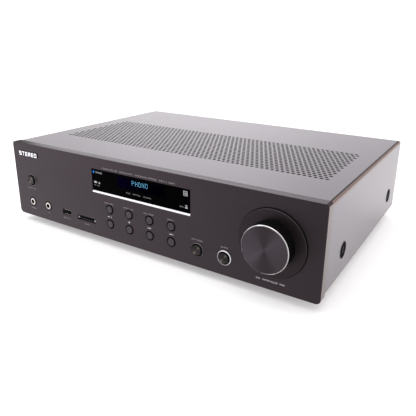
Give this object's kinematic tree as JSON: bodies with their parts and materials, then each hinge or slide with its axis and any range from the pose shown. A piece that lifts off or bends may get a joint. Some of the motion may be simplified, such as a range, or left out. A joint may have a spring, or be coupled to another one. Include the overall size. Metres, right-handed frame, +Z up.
{
  "type": "stereo receiver",
  "caption": "Full-width hi-fi stereo receiver: brushed front panel with volume knob, display window, buttons and sockets, in a vented sheet-metal case.",
  "frame": {"origin": "on the floor plane under the feet, in the middle of the width and the depth", "axes": "+X to the viewer's right, +Y to the back, +Z up; the front panel faces -Y"},
  "size_m": [0.43, 0.3334, 0.11],
  "materials": {
    "panel_aluminium": "dark anodised, fine horizontal brushing",
    "disc_aluminium": "dark anodised, fine brushing",
    "subframe": "black moulding",
    "badge_chrome": "polished",
    "window_black": "black see-through acrylic",
    "display_module": "dark display glass on its board",
    "trim_bar": "polished, clear anodised",
    "knob_grip": "black, finely grooved",
    "knob_ring": "diamond cut",
    "knob_face": "dark anodised, spun",
    "shaft_steel": "turned",
    "small_knobs": "dark anodised, turned",
    "ring_chrome": "polished",
    "bezel_aluminium": "dark anodised, turned",
    "control_steel": "stamped steel",
    "standby_button": "dark anodised",
    "button_dark": "satin, metallic paint",
    "bush_nickel": "nickel plated",
    "jack_body": "black moulding",
    "socket_steel": "plated spring steel",
    "usb_tongue": "black moulding",
    "circuit_board": "green solder mask",
    "switch_body": "black moulding",
    "tray_steel": "zinc plated sheet",
    "rear_steel": "black powder coat",
    "cover_steel": "satin dark silver paint",
    "screw_black": "black oxide",
    "foot_black": "black moulding",
    "core_steel": "varnished laminations",
    "coil_tape": "yellow winding tape",
    "heatsink_black": "black anodised extrusion",
    "transistor_black": "black moulding",
    "capacitor_sleeve": "dark blue sleeve",
    "tuner_can": "tinned sheet",
    "standoff_brass": "plated",
    "ribbon_grey": "grey",
    "phono_block": "black moulding",
    "phono_plating": "nickel plated",
    "phono_insert": "white moulding",
    "terminal_plate": "black moulding",
    "stud_brass": "gold plated",
    "cap_black": "black, clear coated",
    "cap_red": "red, clear coated",
    "aerial_plating": "nickel plated",
    "inlet_black": "black moulding",
    "rocker_black": "black moulding"
  },
  "bodies": {
    "case": {"front_panel": "panel_aluminium", "volume_disc": "disc_aluminium", "front_subframe": "subframe", "badge": "badge_chrome", "display_window": "window_black", "display_module": "display_module", "trim_bar": "trim_bar", "source_knob_ring": "ring_chrome", "control_bezels": "bezel_aluminium", "rotary_controls": "control_steel", "jack_bushes": "bush_nickel", "jack_bodies": "jack_body", "usb_shell": "socket_steel", "card_slot": "socket_steel", "usb_tongue": "usb_tongue", "front_boards": "circuit_board", "amplifier_board": "circuit_board", "input_board": "circuit_board", "push_switches": "switch_body", "chassis_tray": "tray_steel", "rear_panel": "rear_steel", "top_cover": "cover_steel", "side_screws": "screw_black", "case_screws": "screw_black", "feet": "foot_black", "transformer_core": "core_steel", "transformer_coils": "coil_tape", "heatsink": "heatsink_black", "output_transistors": "transistor_black", "filter_capacitors": "capacitor_sleeve", "tuner_can": "tuner_can", "standoffs": "standoff_brass", "ribbon_cable": "ribbon_grey", "phono_block": "phono_block", "phono_sleeves": "phono_plating", "phono_inserts": "phono_insert", "terminal_plate": "terminal_plate", "terminal_studs": "stud_brass", "aerial_socket": "aerial_plating", "mains_inlet": "inlet_black"},
    "volume": {"volume_knob": "knob_grip", "volume_knob_ring": "knob_ring", "volume_knob_cap": "knob_face", "volume_shaft": "shaft_steel"},
    "tone": {"tone_knob": "small_knobs"},
    "source": {"source_knob": "small_knobs"},
    "standby": {"standby_button": "standby_button"},
    "upper_button_1": {"upper_button_1": "button_dark"},
    "upper_button_2": {"upper_button_2": "button_dark"},
    "upper_button_3": {"upper_button_3": "button_dark"},
    "upper_button_4": {"upper_button_4": "button_dark"},
    "lower_button_1": {"lower_button_1": "button_dark"},
    "lower_button_2": {"lower_button_2": "button_dark"},
    "lower_button_3": {"lower_button_3": "button_dark"},
    "lower_button_4": {"lower_button_4": "button_dark"},
    "terminal_cap_1": {"terminal_cap_1": "cap_black"},
    "terminal_cap_2": {"terminal_cap_2": "cap_red"},
    "terminal_cap_3": {"terminal_cap_3": "cap_black"},
    "terminal_cap_4": {"terminal_cap_4": "cap_red"},
    "rocker": {"power_rocker": "rocker_black"}
  },
  "joints": [
    {"name": "volume_turn", "type": "hinge", "parent": "case", "child": "volume", "pos_m": [0.163, -0.14925, 0.06], "axis": [0, 1, 0], "continuous": true},
    {"name": "tone_turn", "type": "hinge", "parent": "case", "child": "tone", "pos_m": [0.0775, -0.14925, 0.03], "axis": [0, 1, 0], "range_deg": [-150, 150]},
    {"name": "source_turn", "type": "hinge", "parent": "case", "child": "source", "pos_m": [0.1108, -0.14925, 0.03], "axis": [0, 1, 0], "continuous": true},
    {"name": "standby_press", "type": "slide", "parent": "case", "child": "standby", "axis": [0, 1, 0], "range_m": [0, 0.001], "stiffness_N_per_m": 250, "springref_m": -0.002},
    {"name": "upper_button_1_press", "type": "slide", "parent": "case", "child": "upper_button_1", "axis": [0, 1, 0], "range_m": [0, 0.0007], "stiffness_N_per_m": 200, "springref_m": -0.002},
    {"name": "upper_button_2_press", "type": "slide", "parent": "case", "child": "upper_button_2", "axis": [0, 1, 0], "range_m": [0, 0.0007], "stiffness_N_per_m": 200, "springref_m": -0.002},
    {"name": "upper_button_3_press", "type": "slide", "parent": "case", "child": "upper_button_3", "axis": [0, 1, 0], "range_m": [0, 0.0007], "stiffness_N_per_m": 200, "springref_m": -0.002},
    {"name": "upper_button_4_press", "type": "slide", "parent": "case", "child": "upper_button_4", "axis": [0, 1, 0], "range_m": [0, 0.0007], "stiffness_N_per_m": 200, "springref_m": -0.002},
    {"name": "lower_button_1_press", "type": "slide", "parent": "case", "child": "lower_button_1", "axis": [0, 1, 0], "range_m": [0, 0.0007], "stiffness_N_per_m": 200, "springref_m": -0.002},
    {"name": "lower_button_2_press", "type": "slide", "parent": "case", "child": "lower_button_2", "axis": [0, 1, 0], "range_m": [0, 0.0007], "stiffness_N_per_m": 200, "springref_m": -0.002},
    {"name": "lower_button_3_press", "type": "slide", "parent": "case", "child": "lower_button_3", "axis": [0, 1, 0], "range_m": [0, 0.0007], "stiffness_N_per_m": 200, "springref_m": -0.002},
    {"name": "lower_button_4_press", "type": "slide", "parent": "case", "child": "lower_button_4", "axis": [0, 1, 0], "range_m": [0, 0.0007], "stiffness_N_per_m": 200, "springref_m": -0.002},
    {"name": "terminal_cap_1_turn", "type": "hinge", "parent": "case", "child": "terminal_cap_1", "pos_m": [-0.076, 0.14615, 0.04], "axis": [0, 1, 0], "range_deg": [0, 1080]},
    {"name": "terminal_cap_2_turn", "type": "hinge", "parent": "case", "child": "terminal_cap_2", "pos_m": [-0.052, 0.14615, 0.04], "axis": [0, 1, 0], "range_deg": [0, 1080]},
    {"name": "terminal_cap_3_turn", "type": "hinge", "parent": "case", "child": "terminal_cap_3", "pos_m": [-0.076, 0.14615, 0.066], "axis": [0, 1, 0], "range_deg": [0, 1080]},
    {"name": "terminal_cap_4_turn", "type": "hinge", "parent": "case", "child": "terminal_cap_4", "pos_m": [-0.052, 0.14615, 0.066], "axis": [0, 1, 0], "range_deg": [0, 1080]},
    {"name": "power_rocker_tip", "type": "hinge", "parent": "case", "child": "rocker", "pos_m": [-0.132, 0.14115, 0.042], "axis": [0, 0, 1], "range_deg": [0, 14]}
  ]
}
